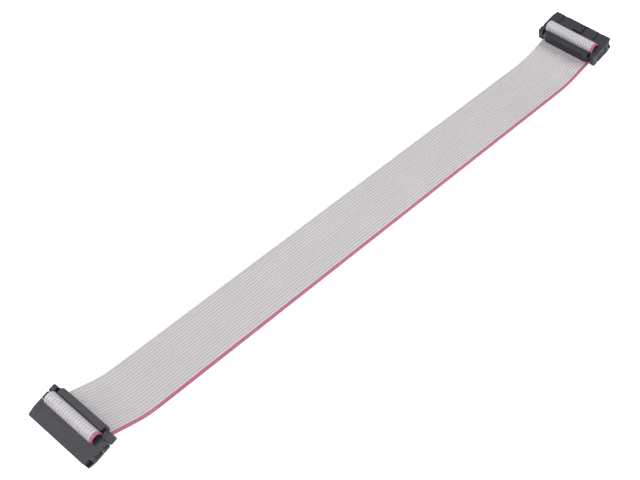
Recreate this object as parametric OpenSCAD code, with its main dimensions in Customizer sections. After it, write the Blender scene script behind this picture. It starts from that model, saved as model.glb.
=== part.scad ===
// Flat ribbon cable with a crimped two-row socket on each end, lying on a table.
// +X runs along the ribbon from the near socket to the far one, +Y across it away from
// the red edge, +Z up. The origin is under the middle of the whole cable, on the table.

/* [Ribbon] */
// Wires side by side, two for each pair of socket holes
wires = 20; // [10:2:40]
// Spacing of the wires, half of the socket's hole spacing
pitch = 1.27; // [1.2:0.01:1.4]
// Thickness of the ribbon over a rib
ribbon_t = 0.9; // [0.8:0.02:1]
// Thickness of the web that joins two ribs
web_t = 0.42; // [0.36:0.02:0.6]
// Groove left between two ribs at mid-thickness
rib_gap = 0.03; // [0.02:0.01:0.1]
// Diameter of one stranded copper conductor
wire_d = 0.38; // [0.3:0.01:0.42]
// Ribbon that lies flat on the table
flat_run = 235; // [60:0.5:1200]

/* [Lie of the ends] */
// Slope of the ribbon up to the near socket, in degrees
near_slope = 17.5; // [12:0.5:24]
// Nose angle of the near socket, negative with its holes down
near_pitch = -21.2; // [-24:0.2:-16]
// Radius of the ribbon where it leaves the table at the near end
near_blend = 34; // [20:1:50]
// Slope of the ribbon up to the far socket, in degrees
far_slope = 16.5; // [12:0.5:22]
// Nose angle of the far socket, positive with its holes up
far_pitch = 14.4; // [8:0.2:20]
// Radius of the ribbon where it leaves the table at the far end
far_blend = 40; // [20:1:60]
// Straight slope of the ribbon up to the far socket
far_rise = 10.5; // [8:0.5:16]

/* [Socket body] */
// Thickness of the socket across its broad faces
socket_t = 5.9; // [5.7:0.1:7]
// Depth from the mating face to the tops of the end posts
body_h = 7.2; // [6.8:0.1:8]
// How far the body reaches past the centre of the last hole
end_margin = 3.57; // [3.2:0.01:5]
// How much each end narrows at the mating face
nose_inset = 0.6; // [0.3:0.05:0.9]
// Length of the narrowing at each end
nose_taper = 3.2; // [2.5:0.1:4]
// Chamfer along the long mating edges
nose_chamfer = 0.3; // [0.1:0.05:0.5]
// Room beside the edges of the ribbon, between the end posts
side_room = 0.2; // [0.1:0.05:0.3]
// How deep the ribbon sits below the tops of the end posts
seat_recess = 0.65; // [0.5:0.05:0.8]
// Width of a square pin entry
entry_w = 0.9; // [0.7:0.05:1.1]
// Width of the flared mouth of a pin entry
mouth_w = 1.5; // [1.2:0.05:1.7]
// Thickness of the mating wall that the pin entries cross
mating_wall = 0.9; // [0.7:0.05:1.2]
// Length of the hollow at each end of the mating face
hollow_l = 2.6; // [1.5:0.1:3]
// Depth of that hollow along the row, from the socket's end
hollow_d = 1.3; // [0.8:0.1:1.5]
// Wall above and below that hollow
hollow_wall = 0.9; // [0.7:0.05:1.5]
// Depth of the contact chambers from the mating face
chamber_end = 4.75; // [4.5:0.05:5]
// Width of a contact chamber along the row
chamber_w = 2; // [1.8:0.02:2.1]
// Height of a contact chamber across the rows
chamber_h = 1.6; // [1.5:0.02:1.7]

/* [Polarising key] */
// Width of the raised key in the middle of one broad face
key_w = 4; // [3:0.1:5]
// Height of the key above the face
key_h = 0.95; // [0.6:0.05:1.2]
// Length of the key from the mating face
key_l = 5.6; // [4:0.1:6]
// Where the sloping front of the key reaches its full height
key_lead = 1.1; // [0.6:0.05:1.6]
// Length of the slope at the rear of the key
key_tail = 0.4; // [0.2:0.05:0.6]
// Width of the two guide grooves beside the key
groove_w = 2; // [1:0.1:2.4]
// Depth of the guide grooves
groove_d = 0.55; // [0.2:0.05:0.6]
// Centre of each guide groove from the middle of the socket
groove_y = 9.3; // [7:0.1:11]

/* [Cover and strain relief] */
// Thickness of the cover that the ribbon folds over
cover_t = 3.35; // [3:0.05:3.8]
// Length of the end posts of the cover
post_l = 3.1; // [2.8:0.05:3.3]
// Thickness of the clamping bar
bar_t = 2.95; // [2.6:0.05:3.4]
// Depth of the clamping bar below the face that the ribbon loops over
bar_depth = 4.4; // [4:0.05:4.7]
// Radius of the bar's edge that the ribbon bends around
bar_round = 0.9; // [0.6:0.05:1.2]
// Radius of the bar's edge beside the loop
bar_lip = 0.6; // [0.3:0.05:0.8]
// Bevel at the two rear corners of the bar
bar_bevel = 1; // [0.5:0.1:1.6]
// Length of the end blocks of the strain relief
ear_l = 3.2; // [2.8:0.1:3.6]
// Radius of the rear edges of the end blocks
ear_round = 0.9; // [0.3:0.05:1.4]
// Width of the slot between the bar and an end block
ear_slot = 1.35; // [1.2:0.05:2]
// Depth of that slot
ear_slot_d = 2.1; // [1:0.1:2.6]
// Chamfer on both sides of the joint between an end block and the cover
joint_chamfer = 0.5; // [0.2:0.05:0.7]

/* [Latches] */
// Width of a latch leg
leg_w = 2.8; // [2:0.1:3.4]
// Thickness of a latch leg
leg_t = 0.8; // [0.6:0.05:0.9]
// How far a latch leg lies below the end face
leg_recess = 0.25; // [0.1:0.05:0.35]
// Length of a cover leg in the body
body_leg = 2.9; // [2.4:0.1:3.2]
// Length of a strain relief leg in the cover
cover_leg = 2.1; // [1.6:0.1:2.3]
// How far a latch hook reaches in
hook = 0.35; // [0.2:0.05:0.45]
// Length of a latch hook
hook_l = 0.6; // [0.4:0.05:0.8]

/* [Contacts] */
// Width of the forked blade that pierces the insulation
blade_w = 0.96; // [0.9:0.02:1.06]
// Thickness of the contact metal
blade_t = 0.3; // [0.2:0.02:0.36]
// How far the fork tips stand past the middle of the wire
blade_reach = 1.25; // [1:0.05:1.4]
// Width of the spring part of a contact
spring_w = 1.1; // [0.8:0.05:1.3]
// Thickness of a spring beam
beam_t = 0.2; // [0.14:0.02:0.24]
// Opening between the spring beams where they grip a pin
grip_gap = 0.5; // [0.4:0.02:0.6]

/* [Clearances] */
// Between the ribbon and the plastic that holds it
ribbon_fit = 0.02; // [0.01:0.01:0.05]
// Between the webs of the ribbon and the ridges that stand in its grooves
web_fit = 0.05; // [0.03:0.01:0.1]
// Between a wire and its bore, and between a wire and its fork
wire_fit = 0.02; // [0.01:0.01:0.03]
// Around a contact blade in its slit
blade_fit = 0.03; // [0.02:0.01:0.05]
// Between two moulded parts
part_fit = 0.1; // [0.05:0.01:0.15]
// Beyond the tips of the contact forks, in the cover
tip_room = 0.3; // [0.1:0.05:0.5]
// Between the cut end of the ribbon and the outer face of the socket
tail_gap = 0.1; // [0.05:0.05:0.4]

/* [Hidden] */
$fn = 32;
eps = 0.5;
lap = 0.04;
lap_step = 0.003;
seam = 0.02;
poke = 0.01;
bite = 0.1;
diagonal = sqrt(2);
positions = wires / 2;
hole_pitch = 2 * pitch;

// Ribbon section: each rib is the lens where two circles cross
rib_half = (pitch - rib_gap) / 2;
rib_r = (rib_half * rib_half + ribbon_t * ribbon_t / 4) / ribbon_t;
rib_offset = rib_r - ribbon_t / 2;
ribbon_half = (wires - 1) / 2 * pitch + rib_half;

// Stations along a socket, counted back from the mating face
seat_s = body_h - seat_recess + ribbon_t / 2;
loop_r = (cover_t + ribbon_t) / 2;
gap_s = seat_s + 2 * loop_r;
ridge_s = seat_s - web_t / 2 - web_fit;
cover_ridge_s = seat_s + web_t / 2 + web_fit;
cover_end_s = gap_s - ribbon_t / 2 - ribbon_fit;
post_s = body_h + part_fit;
bar_s = gap_s + ribbon_t / 2 + ribbon_fit;
ear_s = post_s + post_l + part_fit;
ear_end_s = ear_s + ear_l;

// Places across a socket
face_z = socket_t / 2;
half_l = (positions - 1) / 2 * hole_pitch + end_margin;
core_half = ribbon_half + side_room;
ear_in = core_half + part_fit;
leg_out = half_l - leg_recess;
leg_in = leg_out - leg_t;
bar_half = ear_in - ear_slot;

// The ribbon bends around the bar's edge, whose centre lies here
bend_r = bar_round + ribbon_fit + ribbon_t / 2;
gap_run = bar_depth - bar_round;
slot_run = socket_t - tail_gap;

// Lowest edge of the near socket, the front of its key, rests on the table
near_rise = -(ribbon_t / 2 + near_blend * (1 - cos(near_slope))
    + bend_r * (cos(near_slope) + sin(near_pitch))
    + sin(near_pitch) * (gap_s - key_lead)
    - cos(near_pitch) * (socket_t + key_h - gap_run)) / sin(near_slope);

// A route is a list of stretches, each [length, 0] or [radius, degrees turned to the left]
function route(blend, slope, rise, nose) = [
    [blend, slope],
    [rise, 0],
    [bend_r, 90 + nose - slope],
    [gap_run, 0],
    [loop_r, -180],
    [slot_run, 0]
];
near_route = route(near_blend, near_slope, near_rise, near_pitch);
far_route = route(far_blend, far_slope, far_rise, far_pitch);

// Position and heading [x, z, degrees] after one stretch
function advance(p, s) = s[1] == 0
    ? [p[0] + s[0] * cos(p[2]), p[1] + s[0] * sin(p[2]), p[2]]
    : let (r = sign(s[1]) * s[0])
        [p[0] + r * (sin(p[2] + s[1]) - sin(p[2])),
         p[1] - r * (cos(p[2] + s[1]) - cos(p[2])),
         p[2] + s[1]];
function walk(p, stretches, k) = k == 0 ? p : advance(walk(p, stretches, k - 1), stretches[k - 1]);

// How far a socket's nose reaches out from the end of the flat run
function bend_end(stretches) = walk([0, ribbon_t / 2, 0], stretches, 3);
function reach(stretches, nose) =
    bend_end(stretches)[0] + cos(nose) * gap_s + sin(nose) * (face_z - gap_run)
    + abs(sin(nose)) * (face_z - nose_chamfer);
near_reach = reach(near_route, near_pitch);
far_reach = reach(far_route, far_pitch);
flat_start = near_reach - (near_reach + flat_run + far_reach) / 2;

function wire_y(k) = (k - (wires + 1) / 2) * pitch;
function hole_y(k) = (k - (positions + 1) / 2) * hole_pitch;
function two_digits(k) = k < 10 ? str("0", k) : str(k);
function wire_node(k) = str("conductor_", two_digits(k));

SOCKET_NODES = ["socket", "cover", "strain_relief", "odd_contacts", "even_contacts"];

// Ribbon

module rib_2d(k) {
    translate([wire_y(k), 0])
        intersection() {
            translate([0, rib_offset]) circle(r = rib_r + $grow);
            translate([0, -rib_offset]) circle(r = rib_r + $grow);
        }
}

// Ribs from one wire to another, with their webs and bores
module insulation_2d(first, last) {
    left = wire_y(first) - (first == 1 ? 0 : pitch / 2 - seam / 2 + $grow);
    right = wire_y(last) + (last == wires ? 0 : pitch / 2 - seam / 2 + $grow);
    difference() {
        union() {
            for (k = [first : last]) rib_2d(k);
            translate([left, -web_t / 2 - $grow]) square([right - left, web_t + 2 * $grow]);
        }
        for (k = [first : last])
            translate([wire_y(k), 0]) circle(r = wire_d / 2 + wire_fit - $grow);
    }
}

// Carries the flat drawing of children along one stretch that starts at p. A straight
// stretch laps over the curved ones beside it, and $grow makes it thicker by a hair.
module stretch(p, s) {
    $grow = s[1] == 0 ? lap_step : 0;
    translate([p[0], 0, p[1]])
        if (s[1] == 0)
            rotate([0, -p[2], 0]) rotate([90, 0, 90])
                translate([0, 0, -lap]) linear_extrude(height = s[0] + 2 * lap) children();
        else if (s[1] > 0)
            rotate([90, 90 - p[2], 0]) translate([-s[0], 0, 0])
                rotate_extrude(angle = s[1]) translate([s[0], 0]) rotate(-90) children();
        else
            rotate([-90, -90 - p[2], 0]) translate([-s[0], 0, 0])
                rotate_extrude(angle = -s[1]) translate([s[0], 0]) rotate(90) children();
}

// Every stretch as [side, start, stretch], where side -1 is drawn in mirror image
function placed(side, stretches) = [
    for (k = [0 : len(stretches) - 1])
        [side, walk([side > 0 ? flat_run : 0, ribbon_t / 2, 0], stretches, k), stretches[k]]
];

module whole_route() {
    flat = [1, [0, ribbon_t / 2, 0], [flat_run, 0]];
    for (piece = concat(placed(-1, near_route), [flat], placed(1, far_route)))
        translate([flat_start, 0, 0]) mirror([piece[0] < 0 ? 1 : 0, 0, 0])
            stretch(piece[1], piece[2]) children();
}

// Puts a piece drawn in socket coordinates on its end of the ribbon. There the mating
// face is x = 0 and looks along +X, and the ribbon loops over the face at +Z.
module on_end(stretches, nose) {
    p = bend_end(stretches);
    translate([p[0], 0, p[1]])
        rotate([0, -nose, 0])
            translate([gap_s, 0, gap_run - face_z])
                children();
}
module at_near() {
    translate([flat_start, 0, 0]) mirror([1, 0, 0]) on_end(near_route, near_pitch) children();
}
module at_far() {
    translate([flat_start + flat_run, 0, 0]) on_end(far_route, far_pitch) children();
}

// The odd wires go to the row on the key's side
function row_z(k, key) = (k % 2 == 1 ? key : -key) * pitch;

module blade_slits(first, last, key) {
    for (k = [first : last])
        translate([-seat_s, wire_y(k), row_z(k, key)])
            cube([2 * ribbon_t, blade_w + 2 * blade_fit, blade_t + 2 * blade_fit], center = true);
}

module insulation(first, last) {
    difference() {
        whole_route() insulation_2d(first, last);
        at_near() blade_slits(first, last, -1);
        at_far() blade_slits(first, last, 1);
    }
}

module grey_insulation() {
    color("gainsboro") insulation(2, wires);
}

module red_insulation() {
    color("palevioletred") insulation(1, 1);
}

module conductor(k) {
    color("peru") whole_route() translate([wire_y(k), 0]) circle(r = wire_d / 2 + $grow);
}

// Socket

// A block between two stations and two widths, on both ends of the socket
module on_both_ends(s0, s1, y0, y1, h) {
    for (side = [-1, 1])
        translate([-s1, side > 0 ? y0 : -y1, -h / 2]) cube([s1 - s0, y1 - y0, h]);
}

module scallops(offset) {
    for (k = [1 : wires])
        translate([-seat_s + offset, wire_y(k), -face_z - eps])
            cylinder(r = rib_r + ribbon_fit, h = socket_t + 2 * eps);
}

module pin_entries() {
    for (k = [1 : positions], row = [-1, 1])
        translate([0, hole_y(k), row * pitch]) {
            translate([-mating_wall - eps, -entry_w / 2, -entry_w / 2])
                cube([mating_wall + 2 * eps, entry_w, entry_w]);
            rotate([0, -90, 0]) rotate(45)
                translate([0, 0, -poke])
                    cylinder(d1 = (mouth_w + poke) * diagonal, d2 = entry_w * diagonal,
                        h = mating_wall / 2, $fn = 4);
            translate([-chamber_end, -chamber_w / 2, -chamber_h / 2])
                cube([chamber_end - mating_wall, chamber_w, chamber_h]);
        }
}

module socket_outline() {
    nose_half = half_l - nose_inset;
    intersection() {
        linear_extrude(height = socket_t, center = true)
            polygon([
                [0, -nose_half], [0, nose_half],
                [-nose_taper, half_l], [-body_h, half_l],
                [-body_h, -half_l], [-nose_taper, -half_l]
            ]);
        rotate([90, 0, 0])
            linear_extrude(height = 2 * half_l, center = true)
                polygon([
                    [0, -face_z + nose_chamfer], [0, face_z - nose_chamfer],
                    [-nose_chamfer, face_z], [-body_h, face_z],
                    [-body_h, -face_z], [-nose_chamfer, -face_z]
                ]);
    }
}

module key_bump(key) {
    rotate([90, 0, 0])
        linear_extrude(height = key_w, center = true)
            polygon([
                [-nose_chamfer, key * (face_z - nose_chamfer)],
                [-nose_chamfer, key * face_z],
                [-key_lead, key * (face_z + key_h)],
                [-key_l + key_tail, key * (face_z + key_h)],
                [-key_l, key * face_z],
                [-key_l, key * (face_z - nose_chamfer)]
            ]);
}

module socket(key) {
    color("dimgray") difference() {
        union() {
            socket_outline();
            key_bump(key);
        }
        // seat of the ribbon, with a groove for each rib
        translate([-body_h - eps, -core_half, -face_z - eps])
            cube([body_h + eps - ridge_s, 2 * core_half, socket_t + 2 * eps]);
        scallops(-rib_offset);
        pin_entries();
        for (k = [1 : wires])
            translate([-seat_s, wire_y(k) - blade_w / 2 - blade_fit,
                       row_z(k, key) - blade_t / 2 - blade_fit])
                cube([seat_s - chamber_end + bite, blade_w + 2 * blade_fit, blade_t + 2 * blade_fit]);
        // guide grooves beside the key
        for (side = [-1, 1])
            translate([-key_l, side * groove_y - groove_w / 2,
                       key > 0 ? face_z - groove_d : -face_z - eps])
                cube([key_l + eps, groove_w, groove_d + eps]);
        // channels for the cover's latch legs, and the windows of their hooks
        on_both_ends(body_h - body_leg - part_fit, body_h + eps, leg_in - part_fit, half_l + eps,
            leg_w + 2 * part_fit);
        on_both_ends(body_h - body_leg - part_fit, body_h - body_leg + hook_l + part_fit,
            leg_in - hook - part_fit, leg_in, leg_w + 2 * part_fit);
        // hollow at each end of the mating face
        on_both_ends(-eps, hollow_l, half_l - hollow_d, half_l + eps, socket_t - 2 * hollow_wall);
    }
}

// Latch legs reach from s0 towards the mating face and end in a hook that points inwards
module latch_legs(s0, length) {
    on_both_ends(s0 - length, s0, leg_in, leg_out, leg_w);
    for (side = [-1, 1])
        mirror([0, side > 0 ? 0 : 1, 0])
            linear_extrude(height = leg_w, center = true)
                polygon([
                    [-s0 + length, leg_in + leg_t / 2], [-s0 + length, leg_in],
                    [-s0 + length - hook_l / 2, leg_in - hook],
                    [-s0 + length - hook_l, leg_in - hook],
                    [-s0 + length - hook_l, leg_in + leg_t / 2]
                ]);
}

// Cuts the corners on both sides of the joint between the cover and the end blocks
module joint_chamfers() {
    side_of_cut = joint_chamfer * diagonal;
    for (side = [-1, 1])
        translate([-ear_s + part_fit / 2, side * half_l, 0]) rotate(45)
            cube([side_of_cut, side_of_cut, socket_t + 2 * eps], center = true);
}

module cover(key) {
    color("dimgray") difference() {
        union() {
            translate([-cover_end_s, -core_half, -face_z])
                cube([cover_end_s - cover_ridge_s, 2 * core_half, socket_t]);
            on_both_ends(post_s, post_s + post_l, core_half - bite, half_l, socket_t);
            latch_legs(post_s + bite, body_leg + part_fit);
        }
        scallops(rib_offset);
        // slits that take the tips of the contact forks
        for (k = [1 : wires])
            translate([-seat_s - blade_reach - tip_room, wire_y(k) - blade_w / 2 - blade_fit,
                       row_z(k, key) - blade_t / 2 - blade_fit])
                cube([blade_reach + tip_room, blade_w + 2 * blade_fit, blade_t + 2 * blade_fit]);
        joint_chamfers();
        // channels for the strain relief's latch legs
        on_both_ends(ear_s - cover_leg - part_fit, ear_s + eps, leg_in - part_fit, half_l + eps,
            leg_w + 2 * part_fit);
        on_both_ends(ear_s - cover_leg - part_fit, ear_s - cover_leg + hook_l + part_fit,
            leg_in - hook - part_fit, leg_in, leg_w + 2 * part_fit);
    }
}

// Side outline of the clamping bar: x along the socket, y up towards the loop
module bar_2d() {
    top = face_z;
    bottom = face_z - bar_depth;
    difference() {
        translate([-bar_s - bar_t, bottom]) square([bar_t, bar_depth]);
        translate([-bar_s - bar_round, bottom - eps]) square([bar_round + eps, bar_round + eps]);
        translate([-bar_s - bar_lip, top - bar_lip]) square([bar_lip + eps, bar_lip + eps]);
    }
    translate([-bar_s - bar_round, bottom + bar_round]) circle(r = bar_round);
    translate([-bar_s - bar_lip, top - bar_lip]) circle(r = bar_lip);
}

// Side outline of an end block, with rounded rear edges
module end_block_2d() {
    translate([-ear_end_s + ear_round, -face_z]) square([ear_l - ear_round, socket_t]);
    translate([-ear_end_s, -face_z + ear_round]) square([ear_round, socket_t - 2 * ear_round]);
    for (z = [-1, 1])
        translate([-ear_end_s + ear_round, z * (face_z - ear_round)]) circle(r = ear_round);
}

module strain_relief() {
    bar_end = bar_s + bar_t;
    bevel_front = bar_end - bar_bevel * 0.7;
    color("dimgray") {
        intersection() {
            rotate([90, 0, 0]) linear_extrude(height = 2 * bar_half, center = true) bar_2d();
            translate([0, 0, -face_z])
                linear_extrude(height = socket_t)
                    polygon([
                        [-bar_s + eps, -bar_half], [-bar_s + eps, bar_half],
                        [-bevel_front, bar_half], [-bar_end, bar_half - bar_bevel],
                        [-bar_end, -bar_half + bar_bevel], [-bevel_front, -bar_half]
                    ]);
        }
        // the bar joins its end blocks below a slot at each side
        for (side = [-1, 1])
            translate([-ear_end_s + bite, side > 0 ? bar_half - bite : -ear_in - bite,
                       face_z - bar_depth])
                cube([ear_end_s - bite - bar_s - bar_round, ear_in - bar_half + 2 * bite,
                      bar_depth - ear_slot_d]);
        difference() {
            for (side = [-1, 1])
                translate([0, side * (ear_in + half_l) / 2, 0])
                    rotate([90, 0, 0])
                        linear_extrude(height = half_l - ear_in, center = true) end_block_2d();
            joint_chamfers();
        }
        latch_legs(ear_s + bite, cover_leg + bite);
    }
}

// One contact, drawn round the middle of its hole. side says which way its blade is
// offset along the row, to meet its own wire.
module contact(side) {
    shoulder = chamber_end + 0.25;
    neck_cut = 0.3;
    tip_l = 0.5;
    beam_foot = 0.4;
    flare = 0.15;
    grip_s = mating_wall + 1;
    mouth_s = mating_wall + flare;
    base_s = chamber_end - part_fit - beam_t;
    tip_s = seat_s + blade_reach;
    fork_gap = wire_d + 2 * wire_fit;
    fork_root = seat_s - fork_gap / 2 - web_fit;
    tine_w = (blade_w - fork_gap) / 2;
    spring_half = chamber_h / 2 - part_fit;
    // forked blade, with pointed tines on both sides of the wire and a neck that is cut
    // back on the outside to clear the chamber's wall
    translate([0, side * pitch / 2, 0])
        mirror([0, side > 0 ? 0 : 1, 0])
            linear_extrude(height = blade_t, center = true)
                difference() {
                    polygon([
                        [-base_s, -blade_w / 2],
                        [-tip_s + tip_l, -blade_w / 2],
                        [-tip_s, -blade_w / 2 + tine_w / 2],
                        [-tip_s, blade_w / 2 - tine_w / 2],
                        [-tip_s + tip_l, blade_w / 2],
                        [-shoulder, blade_w / 2],
                        [-shoulder, blade_w / 2 - neck_cut],
                        [-base_s, blade_w / 2 - neck_cut]
                    ]);
                    translate([-tip_s - eps, -fork_gap / 2])
                        square([tip_s + eps - fork_root, fork_gap]);
                }
    // spring beams that grip a square pin from both sides
    rotate([90, 0, 0])
        linear_extrude(height = spring_w, center = true) {
            translate([-base_s - beam_t, -spring_half]) square([beam_t, 2 * spring_half]);
            for (z = [-1, 1])
                polygon([
                    [-base_s - beam_t, z * (spring_half - beam_t)],
                    [-base_s - beam_t, z * spring_half],
                    [-base_s + beam_foot, z * spring_half],
                    [-grip_s, z * (grip_gap / 2 + beam_t)],
                    [-mouth_s, z * (grip_gap / 2 + beam_t + flare)],
                    [-mouth_s, z * (grip_gap / 2 + flare)],
                    [-grip_s, z * grip_gap / 2],
                    [-base_s + beam_foot, z * (spring_half - beam_t)]
                ]);
        }
}

// The contacts of one row. The odd row meets wires 1, 3, 5 and so on.
module contact_row(odd, key) {
    color("goldenrod")
        for (k = [1 : positions])
            translate([0, hole_y(k), (odd ? key : -key) * pitch]) contact(odd ? -1 : 1);
}

grey_insulation();
red_insulation();
for (k = [1 : wires])
    conductor(k);
at_near() socket(-1);  // near_socket
at_near() cover(-1);  // near_cover
at_near() strain_relief();  // near_strain_relief
at_near() contact_row(true, -1);  // near_odd_contacts
at_near() contact_row(false, -1);  // near_even_contacts
at_far() socket(1);  // far_socket
at_far() cover(1);  // far_cover
at_far() strain_relief();  // far_strain_relief
at_far() contact_row(true, 1);  // far_odd_contacts
at_far() contact_row(false, 1);  // far_even_contacts
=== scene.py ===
import math

import bmesh
import bpy
from bpy.props import FloatProperty, FloatVectorProperty, IntProperty, PointerProperty
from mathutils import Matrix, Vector


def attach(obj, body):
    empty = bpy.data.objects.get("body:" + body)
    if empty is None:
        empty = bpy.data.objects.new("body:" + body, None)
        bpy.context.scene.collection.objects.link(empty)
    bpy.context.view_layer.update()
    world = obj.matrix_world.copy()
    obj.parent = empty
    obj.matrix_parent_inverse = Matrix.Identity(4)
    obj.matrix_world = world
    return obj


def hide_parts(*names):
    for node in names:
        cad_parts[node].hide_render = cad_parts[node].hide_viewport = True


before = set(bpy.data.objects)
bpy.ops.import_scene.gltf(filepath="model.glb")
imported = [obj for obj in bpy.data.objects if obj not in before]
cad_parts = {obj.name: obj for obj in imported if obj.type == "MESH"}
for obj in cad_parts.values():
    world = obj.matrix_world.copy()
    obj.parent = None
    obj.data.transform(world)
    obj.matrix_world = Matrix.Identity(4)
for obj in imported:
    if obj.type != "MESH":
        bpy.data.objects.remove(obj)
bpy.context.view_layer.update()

bl_info = {
    "name": "Ribbon cable",
    "version": (1, 0, 0),
    "blender": (4, 5, 0),
    "location": "3D View > Sidebar > Ribbon cable",
    "description": "Dresses a flat ribbon cable with a crimped socket on each end",
    "category": "Object",
}

ENDS = ("near", "far")
MOULDINGS = ("socket", "cover", "strain_relief")
CONTACT_ROWS = ("odd_contacts", "even_contacts")

# How finely the ribbon is drawn: steps across one rib, and the largest turn and straight step along
# the route, which are coarse for the conductors because the jackets hide them
RIB_STEPS = 12
JACKET_STEPS = (math.radians(7.5), 0.004)
CONDUCTOR_STEPS = (math.radians(18), 1.0)
# a swept mesh has a sharp edge where its faces meet at more than this
CREASE = math.radians(30)

WHITE = "#FFFFFF"


# Colours and sizes that a user would change


def linear(hex_colour):
    """An sRGB hex colour as the linear, opaque RGBA that a shader works in."""
    parts = [int(hex_colour[i : i + 2], 16) / 255 for i in (1, 3, 5)]
    return [c / 12.92 if c <= 0.04045 else ((c + 0.055) / 1.055) ** 2.4 for c in parts] + [1.0]


def length_property(name, description, default, lowest=0.0):
    return FloatProperty(name=name, description=description, default=default, min=lowest,
                         precision=5, subtype="DISTANCE", unit="LENGTH")


def angle_property(name, description, degrees):
    return FloatProperty(name=name, description=description, default=math.radians(degrees),
                         subtype="ANGLE", unit="ROTATION")


def colour_property(name, description, hex_colour):
    return FloatVectorProperty(name=name, description=description, default=linear(hex_colour),
                               size=4, min=0.0, max=1.0, subtype="COLOR")


class RibbonSizes(bpy.types.PropertyGroup):
    wires: IntProperty(name="Wires", description="Wires side by side in the ribbon",
                       default=20, min=4)
    pitch: length_property("Pitch", "Spacing of the wires", 0.00127)
    ribbon_t: length_property("Rib thickness", "Thickness of the ribbon over a rib", 0.0009)
    web_t: length_property("Web thickness", "Thickness of the web between two ribs", 0.00042)
    rib_gap: length_property("Rib gap", "Groove between two ribs at mid-thickness", 0.00003)
    wire_d: length_property("Conductor", "Diameter of one stranded conductor", 0.00038)


class RibbonRoute(bpy.types.PropertyGroup):
    flat_start: length_property("Flat start", "Where the flat run begins along X", -0.116747,
                                lowest=-1.0)
    flat_run: length_property("Flat run", "Ribbon that lies flat on the table", 0.235)
    bend_r: length_property("Bend radius", "Bend around the clamping bar", 0.00137)
    gap_run: length_property("Clamped run", "Ribbon clamped behind the cover", 0.0035)
    loop_r: length_property("Loop radius", "Fold over the cover", 0.002125)
    slot_run: length_property("Slot run", "Ribbon that crosses the socket", 0.0058)
    near_blend: length_property("Near blend", "Radius where the near end leaves the table", 0.034)
    near_rise: length_property("Near rise", "Straight slope up to the near socket", 0.013166)
    near_slope: angle_property("Near slope", "Slope of the ribbon at the near socket", 17.5)
    near_pitch: angle_property("Near pitch", "Nose angle of the near socket", -21.2)
    far_blend: length_property("Far blend", "Radius where the far end leaves the table", 0.040)
    far_rise: length_property("Far rise", "Straight slope up to the far socket", 0.0105)
    far_slope: angle_property("Far slope", "Slope of the ribbon at the far socket", 16.5)
    far_pitch: angle_property("Far pitch", "Nose angle of the far socket", 14.4)


class CableColours(bpy.types.PropertyGroup):
    grey: colour_property("Grey jacket", "Plain wires of the ribbon", "#CAC6C8")
    red: colour_property("Red jacket", "Marked edge wire of the ribbon", "#B96080")
    moulding: colour_property("Mouldings", "Socket, cover and strain relief", "#27262E")
    contact: colour_property("Contacts", "Plated contact metal", "#D9C08A")
    conductor: colour_property("Conductors", "Tinned copper strands", "#C9A98F")
    table: colour_property("Table", "Floor under the cable", "#F4F4F5")


# Nodes and materials


def add(tree, kind, inputs=None, **settings):
    """Adds a node, sets it, gives its inputs a value or a link, and returns its first output."""
    node = tree.nodes.new(kind)
    for name, value in settings.items():
        setattr(node, name, value)
    for key, value in (inputs or {}).items():
        if isinstance(value, bpy.types.NodeSocket):
            tree.links.new(value, node.inputs[key])
        else:
            node.inputs[key].default_value = value
    return node.outputs[0] if node.outputs else node


def new_material(name):
    material = bpy.data.materials.new(name)
    material.use_nodes = True
    material.node_tree.nodes.clear()
    return material, material.node_tree


def flexible_pvc(name, colour, pitch, painted_groove_shade):
    """Extruded flexible PVC: satin, a little waxy, with faint lengthwise die lines and a painted
    shade along the grooves between the wires.
    """
    material, tree = new_material(name)
    place = add(tree, "ShaderNodeTexCoord").node.outputs["Object"]
    # painted shade in the groove over the web between two wires: 0.2 mm across, with soft edges,
    # found by the distance from the middle of the nearest web, in pitches
    web_core, web_edge = 0.03, 0.09
    split = add(tree, "ShaderNodeSeparateXYZ", {"Vector": place}).node.outputs
    wires = add(tree, "ShaderNodeMath", {0: split["Y"], 1: pitch}, operation="DIVIDE")
    off_web = add(tree, "ShaderNodeMath", {0: wires, 1: 0.5}, operation="PINGPONG")
    web = add(tree, "ShaderNodeMapRange", {
        "Value": off_web, "From Min": web_core, "From Max": web_edge,
        "To Min": painted_groove_shade, "To Max": 1.0})
    # die lines run along the ribbon: 0.25 mm across, 60 mm long
    stretched = add(tree, "ShaderNodeMapping", {"Vector": place, "Scale": (16.0, 4000.0, 16.0)})
    lines = add(tree, "ShaderNodeTexNoise", {"Vector": stretched, "Scale": 1.0, "Detail": 2.0})
    # the dye varies over some 20 mm, by a hair
    cloud = add(tree, "ShaderNodeTexNoise", {"Vector": place, "Scale": 50.0, "Detail": 3.0})
    shade = add(tree, "ShaderNodeMapRange", {"Value": cloud, "To Min": 0.96, "To Max": 1.04})
    # the dye's shade times the painted groove shade
    shade = add(tree, "ShaderNodeMath", {0: shade, 1: web}, operation="MULTIPLY")
    tint = add(tree, "ShaderNodeMix", {"Factor": 1.0, 6: colour, 7: shade},
               data_type="RGBA", blend_type="MULTIPLY").node.outputs[2]
    gloss = add(tree, "ShaderNodeMapRange", {"Value": lines, "To Min": 0.27, "To Max": 0.37})
    relief = add(tree, "ShaderNodeBump", {"Height": lines, "Strength": 0.15, "Distance": 0.00002})
    surface = add(tree, "ShaderNodeBsdfPrincipled", {
        "Base Color": tint, "Roughness": gloss, "Normal": relief, "IOR": 1.53,
        "Subsurface Weight": 0.3, "Subsurface Radius": (1.0, 0.8, 0.75),
        "Subsurface Scale": 0.0015})
    add(tree, "ShaderNodeOutputMaterial", {"Surface": surface})
    return material


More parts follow.
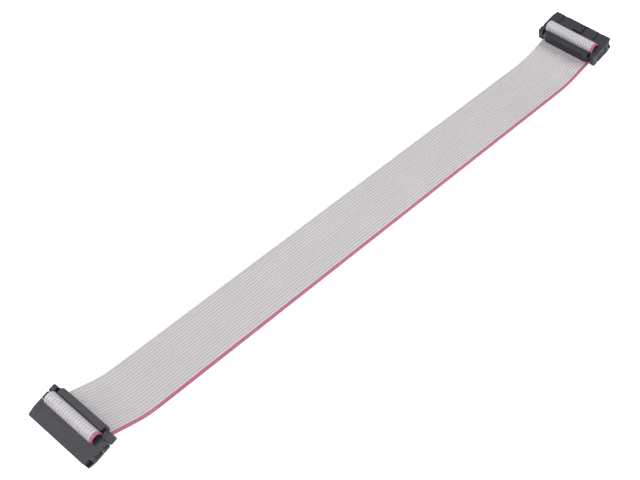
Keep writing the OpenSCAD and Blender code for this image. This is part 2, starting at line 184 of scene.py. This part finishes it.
def moulded_polyester(name, colour):
    """Glass-filled polyester, injection moulded: charcoal, with a fine spark-eroded grain."""
    material, tree = new_material(name)
    place = add(tree, "ShaderNodeTexCoord").node.outputs["Object"]
    # the real grain is about 0.03 mm; 0.12 mm is the finest that shows
    grain = add(tree, "ShaderNodeTexNoise", {"Vector": place, "Scale": 8000.0, "Detail": 2.0})
    flow = add(tree, "ShaderNodeTexNoise", {"Vector": place, "Scale": 220.0, "Detail": 3.0})
    gloss = add(tree, "ShaderNodeMapRange", {"Value": flow, "To Min": 0.46, "To Max": 0.62})
    relief = add(tree, "ShaderNodeBump", {"Height": grain, "Strength": 0.25, "Distance": 0.00002})
    # the glass fibres near the surface break up part of its reflection
    surface = add(tree, "ShaderNodeBsdfPrincipled", {
        "Base Color": colour, "Roughness": gloss, "Normal": relief, "IOR": 1.57,
        "Specular IOR Level": 0.3})
    add(tree, "ShaderNodeOutputMaterial", {"Surface": surface})
    return material


def plated_metal(name, colour, roughness):
    """Rolled metal with a thin plating: bright, with fine rolling lines."""
    material, tree = new_material(name)
    place = add(tree, "ShaderNodeTexCoord").node.outputs["Object"]
    # rolling lines 0.05 mm apart
    rolled = add(tree, "ShaderNodeMapping", {"Vector": place, "Scale": (800.0, 20000.0, 800.0)})
    lines = add(tree, "ShaderNodeTexNoise", {"Vector": rolled, "Scale": 1.0, "Detail": 1.0})
    gloss = add(tree, "ShaderNodeMapRange", {
        "Value": lines, "To Min": roughness - 0.05, "To Max": roughness + 0.08})
    surface = add(tree, "ShaderNodeBsdfPrincipled", {
        "Base Color": colour, "Metallic": 1.0, "Roughness": gloss})
    add(tree, "ShaderNodeOutputMaterial", {"Surface": surface})
    return material


def seen_directly(tree):
    """1 for a ray from the camera, a reflection or glass, and 0 for a ray that lights a surface."""
    sight = add(tree, "ShaderNodeLightPath").node.outputs
    seen = add(tree, "ShaderNodeMath", {0: sight["Is Camera Ray"], 1: sight["Is Glossy Ray"]},
               operation="MAXIMUM")
    return add(tree, "ShaderNodeMath", {0: seen, 1: sight["Is Transmission Ray"]},
               operation="MAXIMUM")


def white_table(name, colour):
    """Matt white laminate under the cable. It looks white to the eye and keeps the shadow."""
    material, tree = new_material(name)
    matt = add(tree, "ShaderNodeBsdfDiffuse", {"Color": colour})
    glow = add(tree, "ShaderNodeEmission", {"Color": linear(WHITE), "Strength": 0.8})
    bright = add(tree, "ShaderNodeAddShader", {0: matt, 1: glow})
    surface = add(tree, "ShaderNodeMixShader", {0: seen_directly(tree), 1: matt, 2: bright})
    add(tree, "ShaderNodeOutputMaterial", {"Surface": surface})
    return material


def give_material(obj, material):
    obj.data.materials.clear()
    obj.data.materials.append(material)


def finish_both_ends(parts, material):
    """Gives a material to the CAD pieces of these names on both ends."""
    for end in ENDS:
        for part in parts:
            give_material(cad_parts[f"{end}_{part}"], material)


# The route of the ribbon


def walk(stretches, start_x, mid_z, side, turn_step, straight_step):
    """Points from the flat run outwards, on side -1 (near) or 1 (far), in the plane y = 0.

    A stretch is a length and a turn of 0, or a radius and a turn, which is upwards when positive.
    """
    x, z, heading = 0.0, mid_z, 0.0
    points = []
    for size, turn in stretches:
        if turn == 0.0:
            steps = max(1, math.ceil(size / straight_step))
            for _ in range(steps):
                x += size / steps * math.cos(heading)
                z += size / steps * math.sin(heading)
                points.append((start_x + side * x, z))
        else:
            steps = max(2, math.ceil(abs(turn) / turn_step))
            radius = math.copysign(size, turn)
            for _ in range(steps):
                after = heading + turn / steps
                x += radius * (math.sin(after) - math.sin(heading))
                z -= radius * (math.cos(after) - math.cos(heading))
                heading = after
                points.append((start_x + side * x, z))
    return points


def ribbon_path(turn_step, straight_step):
    """The middle of the ribbon's thickness, from the near socket's slot to the far one's."""
    sizes, way = bpy.context.scene.ribbon_sizes, bpy.context.scene.ribbon_route
    mid_z = sizes.ribbon_t / 2
    flat_end = way.flat_start + way.flat_run
    ends = {}
    for end, side, start in (("near", -1, way.flat_start), ("far", 1, flat_end)):
        slope, nose = getattr(way, end + "_slope"), getattr(way, end + "_pitch")
        stretches = [
            (getattr(way, end + "_blend"), slope),
            (getattr(way, end + "_rise"), 0.0),
            (way.bend_r, math.pi / 2 + nose - slope),
            (way.gap_run, 0.0),
            (way.loop_r, -math.pi),
            (way.slot_run, 0.0),
        ]
        ends[end] = walk(stretches, start, mid_z, side, turn_step, straight_step)
    steps = max(1, math.ceil(way.flat_run / straight_step))
    flat = [(way.flat_start + way.flat_run * i / steps, mid_z) for i in range(steps + 1)]
    return [Vector((x, 0.0, z)) for x, z in ends["near"][::-1] + flat + ends["far"]]


def path_curve(name, points):
    """A curve object for a tree to work on."""
    curve = bpy.data.curves.new(name, "CURVE")
    curve.dimensions = "3D"
    spline = curve.splines.new("POLY")
    spline.points.add(len(points) - 1)
    for point, place in zip(spline.points, points):
        point.co = (*place, 1.0)
    obj = bpy.data.objects.new(name, curve)
    bpy.context.scene.collection.objects.link(obj)
    return obj


# Geometry Nodes


def new_geometry_tree(name, lengths, counts):
    """A tree with a path, its lengths, its counts and a material as inputs, and one output."""
    tree = bpy.data.node_groups.new(name, "GeometryNodeTree")
    inputs = [("Path", "NodeSocketGeometry")]
    inputs += [(title, "NodeSocketFloat") for title in lengths]
    inputs += [(title, "NodeSocketInt") for title in counts]
    for title, kind in [*inputs, ("Material", "NodeSocketMaterial")]:
        tree.interface.new_socket(title, in_out="INPUT", socket_type=kind)
    tree.interface.new_socket("Geometry", in_out="OUTPUT", socket_type="NodeSocketGeometry")
    return tree, add(tree, "NodeGroupInput").node.outputs


def ribbed_strip_tree():
    """Sweeps a strip of ribs, drawn from its sizes, along the path."""
    tree, size = new_geometry_tree(
        "ribbed_strip",
        ["Rib Centre", "Pitch", "Rib Half", "Rib Height", "Web Half", "Web From", "Web To",
         "Start", "End"],
        ["Ribs", "Steps"])
    # a closed outline, whose points are all placed below: the first half goes along the top, from
    # 0 to Ribs x Steps, and the rest comes back underneath
    top = add(tree, "ShaderNodeMath", {0: size["Ribs"], 1: size["Steps"]}, operation="MULTIPLY")
    last = add(tree, "ShaderNodeMath", {0: top, 1: 2.0, 2: 1.0}, operation="MULTIPLY_ADD")
    count = add(tree, "ShaderNodeMath", {0: last, 1: 1.0}, operation="ADD")
    outline = add(tree, "GeometryNodeCurvePrimitiveCircle", {"Resolution": count}, mode="RADIUS")
    index = add(tree, "GeometryNodeInputIndex")
    mirrored = add(tree, "ShaderNodeMath", {0: last, 1: index}, operation="SUBTRACT")
    step = add(tree, "ShaderNodeMath", {0: index, 1: mirrored}, operation="MINIMUM")
    below = add(tree, "ShaderNodeMath", {0: index, 1: top}, operation="GREATER_THAN")
    side = add(tree, "ShaderNodeMath", {0: below, 1: -2.0, 2: 1.0}, operation="MULTIPLY_ADD")
    # the steps of one rib lie closer together towards its grooves
    ribs = add(tree, "ShaderNodeMath", {0: step, 1: size["Steps"]}, operation="DIVIDE")
    rib = add(tree, "ShaderNodeMath", {0: ribs}, operation="FLOOR")
    centre = add(tree, "ShaderNodeMath", {0: rib, 1: size["Pitch"], 2: size["Rib Centre"]},
                 operation="MULTIPLY_ADD")
    part = add(tree, "ShaderNodeMath", {0: ribs, 1: rib}, operation="SUBTRACT")
    angle = add(tree, "ShaderNodeMath", {0: part, 1: math.pi}, operation="MULTIPLY")
    swing = add(tree, "ShaderNodeMath", {0: angle}, operation="COSINE")
    swing = add(tree, "ShaderNodeMath", {0: swing, 1: size["Pitch"]}, operation="MULTIPLY")
    y = add(tree, "ShaderNodeMath", {0: swing, 1: -0.5, 2: centre}, operation="MULTIPLY_ADD")
    y = add(tree, "ShaderNodeClamp", {"Value": y, "Min": size["Start"], "Max": size["End"]})
    # height of the elliptical rib at a share u of its half width, or of the web where it is more
    u = add(tree, "ShaderNodeMath", {0: y, 1: centre}, operation="SUBTRACT")
    u = add(tree, "ShaderNodeMath", {0: u, 1: size["Rib Half"]}, operation="DIVIDE")
    u2 = add(tree, "ShaderNodeMath", {0: u, 1: u}, operation="MULTIPLY")
    rise = add(tree, "ShaderNodeMath", {0: 1.0, 1: u2}, operation="SUBTRACT")
    rise = add(tree, "ShaderNodeMath", {0: rise, 1: 0.0}, operation="MAXIMUM")
    rise = add(tree, "ShaderNodeMath", {0: rise}, operation="SQRT")
    arc = add(tree, "ShaderNodeMath", {0: rise, 1: size["Rib Height"]}, operation="MULTIPLY")
    after = add(tree, "ShaderNodeMath", {0: y, 1: size["Web From"]}, operation="GREATER_THAN")
    before = add(tree, "ShaderNodeMath", {0: y, 1: size["Web To"]}, operation="LESS_THAN")
    within = add(tree, "ShaderNodeMath", {0: after, 1: before}, operation="MULTIPLY")
    web = add(tree, "ShaderNodeMath", {0: within, 1: size["Web Half"]}, operation="MULTIPLY")
    height = add(tree, "ShaderNodeMath", {0: arc, 1: web}, operation="MAXIMUM")
    height = add(tree, "ShaderNodeMath", {0: height, 1: side}, operation="MULTIPLY")
    place = add(tree, "ShaderNodeCombineXYZ", {"X": y, "Y": height})
    outline = add(tree, "GeometryNodeSetPosition", {"Geometry": outline, "Position": place})
    swept = add(tree, "GeometryNodeCurveToMesh",
                {"Curve": size["Path"], "Profile Curve": outline, "Fill Caps": True})
    swept = add(tree, "GeometryNodeRealizeInstances", {"Geometry": swept})
    swept = add(tree, "GeometryNodeSetMaterial", {"Geometry": swept, "Material": size["Material"]})
    add(tree, "NodeGroupOutput", {"Geometry": swept})
    return tree


def stranded_wires_tree():
    """Sweeps the lobed outline of a seven-strand wire along the path and repeats it."""
    outer_strands, strand_points = 6, 4
    apart = 2 * math.pi / outer_strands
    tree, size = new_geometry_tree(
        "stranded_wires", ["Strand Radius", "Pitch", "First Wire"], ["Wires"])
    outline = add(tree, "GeometryNodeCurvePrimitiveCircle",
                  {"Resolution": outer_strands * strand_points}, mode="RADIUS")
    # angle a from the middle of the nearest outer strand, which lies two strand radii out, and how
    # far out its surface is there: 2 cos a + sqrt(1 - 4 sin a x sin a) strand radii
    index = add(tree, "GeometryNodeInputIndex")
    lobes = add(tree, "ShaderNodeMath", {0: index, 1: float(strand_points)}, operation="DIVIDE")
    nearest = add(tree, "ShaderNodeMath", {0: lobes}, operation="ROUND")
    part = add(tree, "ShaderNodeMath", {0: lobes, 1: nearest}, operation="SUBTRACT")
    angle = add(tree, "ShaderNodeMath", {0: part, 1: apart}, operation="MULTIPLY")
    around = add(tree, "ShaderNodeMath", {0: lobes, 1: apart}, operation="MULTIPLY")
    cosine = add(tree, "ShaderNodeMath", {0: angle}, operation="COSINE")
    sine = add(tree, "ShaderNodeMath", {0: angle}, operation="SINE")
    sine2 = add(tree, "ShaderNodeMath", {0: sine, 1: sine}, operation="MULTIPLY")
    rest = add(tree, "ShaderNodeMath", {0: sine2, 1: -4.0, 2: 1.0}, operation="MULTIPLY_ADD")
    rest = add(tree, "ShaderNodeMath", {0: rest, 1: 0.0}, operation="MAXIMUM")
    rest = add(tree, "ShaderNodeMath", {0: rest}, operation="SQRT")
    reach = add(tree, "ShaderNodeMath", {0: cosine, 1: 2.0, 2: rest}, operation="MULTIPLY_ADD")
    reach = add(tree, "ShaderNodeMath", {0: reach, 1: size["Strand Radius"]}, operation="MULTIPLY")
    x = add(tree, "ShaderNodeMath", {0: around}, operation="COSINE")
    y = add(tree, "ShaderNodeMath", {0: around}, operation="SINE")
    spot = add(tree, "ShaderNodeCombineXYZ", {"X": x, "Y": y})
    spot = add(tree, "ShaderNodeVectorMath", {0: spot, "Scale": reach}, operation="SCALE")
    outline = add(tree, "GeometryNodeSetPosition", {"Geometry": outline, "Position": spot})
    wire = add(tree, "GeometryNodeCurveToMesh",
               {"Curve": size["Path"], "Profile Curve": outline, "Fill Caps": True})
    step = add(tree, "ShaderNodeCombineXYZ", {"Y": size["Pitch"]})
    start = add(tree, "ShaderNodeCombineXYZ", {"Y": size["First Wire"]})
    places = add(tree, "GeometryNodeMeshLine",
                 {"Count": size["Wires"], "Start Location": start, "Offset": step}, mode="OFFSET")
    wires = add(tree, "GeometryNodeInstanceOnPoints", {"Points": places, "Instance": wire})
    wires = add(tree, "GeometryNodeRealizeInstances", {"Geometry": wires})
    wires = add(tree, "GeometryNodeSetMaterial", {"Geometry": wires, "Material": size["Material"]})
    add(tree, "NodeGroupOutput", {"Geometry": wires})
    return tree


def made_by_nodes(name, points, tree, values):
    """Runs a tree on a path and keeps the result as a plain closed mesh."""
    source = path_curve(name + "_path", points)
    modifier = source.modifiers.new("shape", "NODES")
    modifier.node_group = tree
    for item in tree.interface.items_tree:
        if item.in_out == "INPUT" and item.name in values:
            modifier[item.identifier] = values[item.name]
    shaped = source.evaluated_get(bpy.context.evaluated_depsgraph_get())
    mesh = bpy.data.meshes.new_from_object(shaped)
    curve = source.data
    bpy.data.objects.remove(source)
    bpy.data.curves.remove(curve)
    if not mesh.polygons:
        raise RuntimeError(name + " came out empty")
    work = bmesh.new()
    work.from_mesh(mesh)
    # a sweep can come out with its faces inwards
    bmesh.ops.recalc_face_normals(work, faces=work.faces)
    for face in work.faces:
        face.smooth = True
        face.material_index = 0
    work.to_mesh(mesh)
    work.free()
    mesh.set_sharp_from_angle(angle=CREASE)
    mesh.name = name
    obj = bpy.data.objects.new(name, mesh)
    give_material(obj, values["Material"])
    bpy.context.scene.collection.objects.link(obj)
    return obj


def wire_y(number):
    """Where a wire lies across the ribbon. The red one is number 1."""
    sizes = bpy.context.scene.ribbon_sizes
    return (number - (sizes.wires + 1) / 2) * sizes.pitch


def strip(name, path, first, last, material):
    """The jacket of wires first to last, cut in the middle of a web where the next wire follows."""
    sizes = bpy.context.scene.ribbon_sizes
    rib_half, to_cut = (sizes.pitch - sizes.rib_gap) / 2, sizes.pitch / 2
    hair = 1e-7  # carries the web past the cut, whatever the rounding
    left, right = wire_y(first), wire_y(last)
    at_left, at_right = first == 1, last == sizes.wires
    tree = bpy.data.node_groups.get("ribbed_strip") or ribbed_strip_tree()
    return made_by_nodes(name, path, tree, {
        "Rib Centre": left, "Pitch": sizes.pitch, "Rib Half": rib_half,
        "Rib Height": sizes.ribbon_t / 2, "Web Half": sizes.web_t / 2,
        "Web From": left if at_left else left - to_cut - hair,
        "Web To": right if at_right else right + to_cut + hair,
        "Start": left - (rib_half if at_left else to_cut),
        "End": right + (rib_half if at_right else to_cut),
        "Ribs": last - first + 1, "Steps": RIB_STEPS, "Material": material})


def conductors(name, path, material):
    """All the conductors as one mesh. Three strands side by side make up the diameter of each."""
    sizes = bpy.context.scene.ribbon_sizes
    return made_by_nodes(name, path, stranded_wires_tree(), {
        "Strand Radius": sizes.wire_d / 6, "Wires": sizes.wires, "Pitch": sizes.pitch,
        "First Wire": wire_y(1), "Material": material})


# Operators, one for each piece or group of like pieces


class CABLE_OT_ribbon(bpy.types.Operator):
    """Make the grey jacket, its red edge wire and the stranded conductors inside"""

    bl_idname = "ribbon_cable.ribbon"
    bl_label = "Flat ribbon"

    def execute(self, context):
        sizes, colours = context.scene.ribbon_sizes, context.scene.cable_colours
        # the grooves get a painted shade: darker on the grey, faint on the red edge
        grey_pvc = flexible_pvc("flexible_grey_pvc", colours.grey, sizes.pitch, painted_groove_shade=0.55)
        red_pvc = flexible_pvc("flexible_red_pvc", colours.red, sizes.pitch, painted_groove_shade=0.9)
        copper = plated_metal("tinned_copper_strand", colours.conductor, roughness=0.35)
        path = ribbon_path(*JACKET_STEPS)
        grey = strip("grey_ribbon", path, 2, sizes.wires, grey_pvc)
        red = strip("red_edge_wire", path, 1, 1, red_pvc)
        strands = conductors("stranded_conductors", ribbon_path(*CONDUCTOR_STEPS), copper)
        for piece, slot in ((grey, "grey_pvc"), (red, "red_pvc"), (strands, "tinned_copper")):
            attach(piece, "root")
        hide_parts("grey_insulation")
        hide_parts("red_insulation")
        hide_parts(*[f"conductor_{k:02d}" for k in range(1, sizes.wires + 1)])
        return {"FINISHED"}


class CABLE_OT_mouldings(bpy.types.Operator):
    """Finish the socket, cover and strain relief on both ends"""

    bl_idname = "ribbon_cable.mouldings"
    bl_label = "Sockets, covers and strain reliefs"

    def execute(self, context):
        colour = context.scene.cable_colours.moulding
        finish_both_ends(MOULDINGS, moulded_polyester("glass_filled_polyester", colour))
        return {"FINISHED"}


class CABLE_OT_contacts(bpy.types.Operator):
    """Finish the rows of piercing contacts in both sockets"""

    bl_idname = "ribbon_cable.contacts"
    bl_label = "Contacts"

    def execute(self, context):
        colour = context.scene.cable_colours.contact
        metal = plated_metal("plated_phosphor_bronze", colour, roughness=0.28)
        finish_both_ends(CONTACT_ROWS, metal)
        return {"FINISHED"}


# The stage


def look_along(obj, direction):
    """Turns a camera or a lamp to a direction, level with the horizon."""
    obj.rotation_euler = direction.to_track_quat("-Z", "Y").to_euler()


def photo_camera(scene):
    """The camera, fitted to the edges of the ribbon and of both sockets."""
    below_horizon, from_x = 0.8102, 0.7586  # in radians
    lens = bpy.data.cameras.new("photo_camera")
    lens.sensor_fit = "HORIZONTAL"
    lens.sensor_width = 36.0
    lens.lens = 71.986
    lens.clip_start, lens.clip_end = 0.01, 10.0
    camera = bpy.data.objects.new("photo_camera", lens)
    camera.location = (-0.27087, -0.23556, 0.36376)
    level = math.cos(below_horizon)
    look_along(camera, Vector((level * math.cos(from_x), level * math.sin(from_x),
                               -math.sin(below_horizon))))
    scene.collection.objects.link(camera)
    scene.camera = camera


def white_table_top(scene):
    """The table, a hair's breadth under the cable."""
    half_side, drop = 3.0, 0.00002
    work = bmesh.new()
    bmesh.ops.create_grid(work, x_segments=1, y_segments=1, size=half_side)
    bmesh.ops.translate(work, vec=(0.0, 0.0, -drop), verts=work.verts)
    mesh = bpy.data.meshes.new("table_top")
    work.to_mesh(mesh)
    work.free()
    table = bpy.data.objects.new("table_top", mesh)
    scene.collection.objects.link(table)
    give_material(table, white_table("matt_white_laminate", scene.cable_colours.table))


def white_tent(scene):
    """The world: a dim tent, a little cool, that looks white to the eye."""
    world = bpy.data.worlds.new("tent")
    scene.world = world
    world.use_nodes = True
    tree = world.node_tree
    tree.nodes.clear()
    dim = add(tree, "ShaderNodeBackground", {"Color": linear("#F8F8FF"), "Strength": 0.25})
    white = add(tree, "ShaderNodeBackground", {"Color": linear(WHITE), "Strength": 1.0})
    tent = add(tree, "ShaderNodeMixShader", {0: seen_directly(tree), 1: dim, 2: white})
    add(tree, "ShaderNodeOutputWorld", {"Surface": tent})


def softbox(scene, name, place, watts):
    """A square soft lamp of half a metre, turned to the middle of the cable."""
    lamp = bpy.data.lights.new(name, "AREA")
    lamp.shape = "SQUARE"
    lamp.size = 0.5
    lamp.energy = watts
    obj = bpy.data.objects.new(name, lamp)
    obj.location = place
    look_along(obj, -obj.location)
    scene.collection.objects.link(obj)


class CABLE_OT_stage(bpy.types.Operator):
    """Set up the camera, the white table and the soft lights"""

    bl_idname = "ribbon_cable.stage"
    bl_label = "Table, lights and camera"

    def execute(self, context):
        scene = context.scene
        scene.view_settings.view_transform = "Standard"
        photo_camera(scene)
        white_table_top(scene)
        white_tent(scene)
        # the near socket mirrors the lamp at the back towards the camera, and one lamp on each
        # side of the camera lights the fronts
        softbox(scene, "back_softbox", (-0.6, 0.5, 0.7), watts=5.2)
        softbox(scene, "left_softbox", (-0.55, -0.5, 0.9), watts=3.4)
        softbox(scene, "right_softbox", (0.5, -0.3, 0.8), watts=4.0)
        return {"FINISHED"}


# The panel and the start


class CABLE_PT_panel(bpy.types.Panel):
    """Lists the cable's sizes, colours and pieces"""

    bl_idname = "CABLE_PT_panel"
    bl_label = "Ribbon cable"
    bl_space_type = "VIEW_3D"
    bl_region_type = "UI"
    bl_category = "Ribbon cable"

    def draw(self, context):
        for holder, title, group in GROUPS:
            box = self.layout.box()
            box.label(text=title)
            for name in group.__annotations__:
                box.prop(getattr(context.scene, holder), name)
        for operator in OPERATORS:
            self.layout.operator(operator.bl_idname)


GROUPS = (
    ("ribbon_sizes", "Ribbon", RibbonSizes),
    ("ribbon_route", "Route", RibbonRoute),
    ("cable_colours", "Colours", CableColours),
)
OPERATORS = (CABLE_OT_stage, CABLE_OT_ribbon, CABLE_OT_mouldings, CABLE_OT_contacts)


def register():
    for holder, _, group in GROUPS:
        bpy.utils.register_class(group)
        setattr(bpy.types.Scene, holder, PointerProperty(type=group))
    for cls in (*OPERATORS, CABLE_PT_panel):
        bpy.utils.register_class(cls)


def unregister():
    for cls in (CABLE_PT_panel, *reversed(OPERATORS)):
        bpy.utils.unregister_class(cls)
    for holder, _, group in reversed(GROUPS):
        delattr(bpy.types.Scene, holder)
        bpy.utils.unregister_class(group)


def main():
    register()
    bpy.ops.ribbon_cable.stage()
    bpy.ops.ribbon_cable.ribbon()
    bpy.ops.ribbon_cable.mouldings()
    bpy.ops.ribbon_cable.contacts()


if __name__ == "__main__":
    main()
